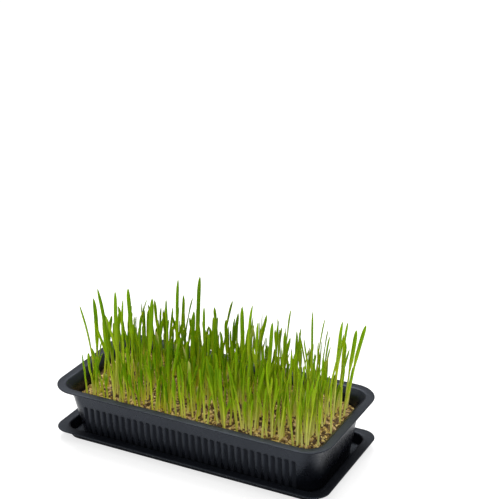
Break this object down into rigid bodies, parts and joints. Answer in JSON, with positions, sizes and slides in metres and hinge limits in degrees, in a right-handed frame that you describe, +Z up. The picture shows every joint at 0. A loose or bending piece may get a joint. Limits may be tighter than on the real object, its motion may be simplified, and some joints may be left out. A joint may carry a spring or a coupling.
{
  "type": "wheatgrass tray",
  "caption": "Young wheatgrass growing upright from a crumbly medium in a black flanged plastic grow tray with fluted long walls, which stands in a shallow flanged drip tray.",
  "frame": {"origin": "on the floor, under the middle of the trays", "axes": "+X along the long side of the trays, +Y to the far long side, +Z up"},
  "size_m": [0.21, 0.103, 0.1228],
  "materials": {
    "black_plastic": "thin pressed black plastic sheet, satin, with soft round edges",
    "medium": "loose tan and brown mineral flakes and seed husks, matte",
    "grass": "fresh green leaf, satin, pale at the foot"
  },
  "bodies": {
    "root": {"drip_tray": "black_plastic", "grass_bunch_01": "grass", "grass_bunch_02": "grass", "grass_bunch_03": "grass", "grass_bunch_04": "grass", "grass_bunch_05": "grass", "grass_bunch_06": "grass", "grass_bunch_07": "grass", "grass_bunch_08": "grass", "grass_bunch_09": "grass", "grass_bunch_10": "grass", "grass_bunch_11": "grass", "grass_bunch_12": "grass", "grass_bunch_13": "grass", "grass_bunch_14": "grass", "grass_bunch_15": "grass", "grass_bunch_16": "grass", "grass_bunch_17": "grass", "grass_bunch_18": "grass", "grass_bunch_19": "grass", "grass_bunch_20": "grass", "grass_bunch_21": "grass", "grass_bunch_22": "grass", "grass_bunch_23": "grass", "grass_bunch_24": "grass", "grass_bunch_25": "grass", "grass_bunch_26": "grass", "grass_bunch_27": "grass", "grass_bunch_28": "grass", "grass_bunch_29": "grass", "grass_bunch_30": "grass", "grass_bunch_31": "grass", "grass_bunch_32": "grass", "grass_bunch_33": "grass", "grass_bunch_34": "grass", "grass_bunch_35": "grass", "grass_bunch_36": "grass", "grass_bunch_37": "grass", "grass_bunch_38": "grass", "grass_bunch_39": "grass", "grass_bunch_40": "grass", "grass_bunch_41": "grass", "grass_bunch_42": "grass", "grass_bunch_43": "grass", "grass_bunch_44": "grass", "grass_bunch_45": "grass", "grow_tray": "black_plastic", "growing_medium": "medium"}
  },
  "joints": []
}
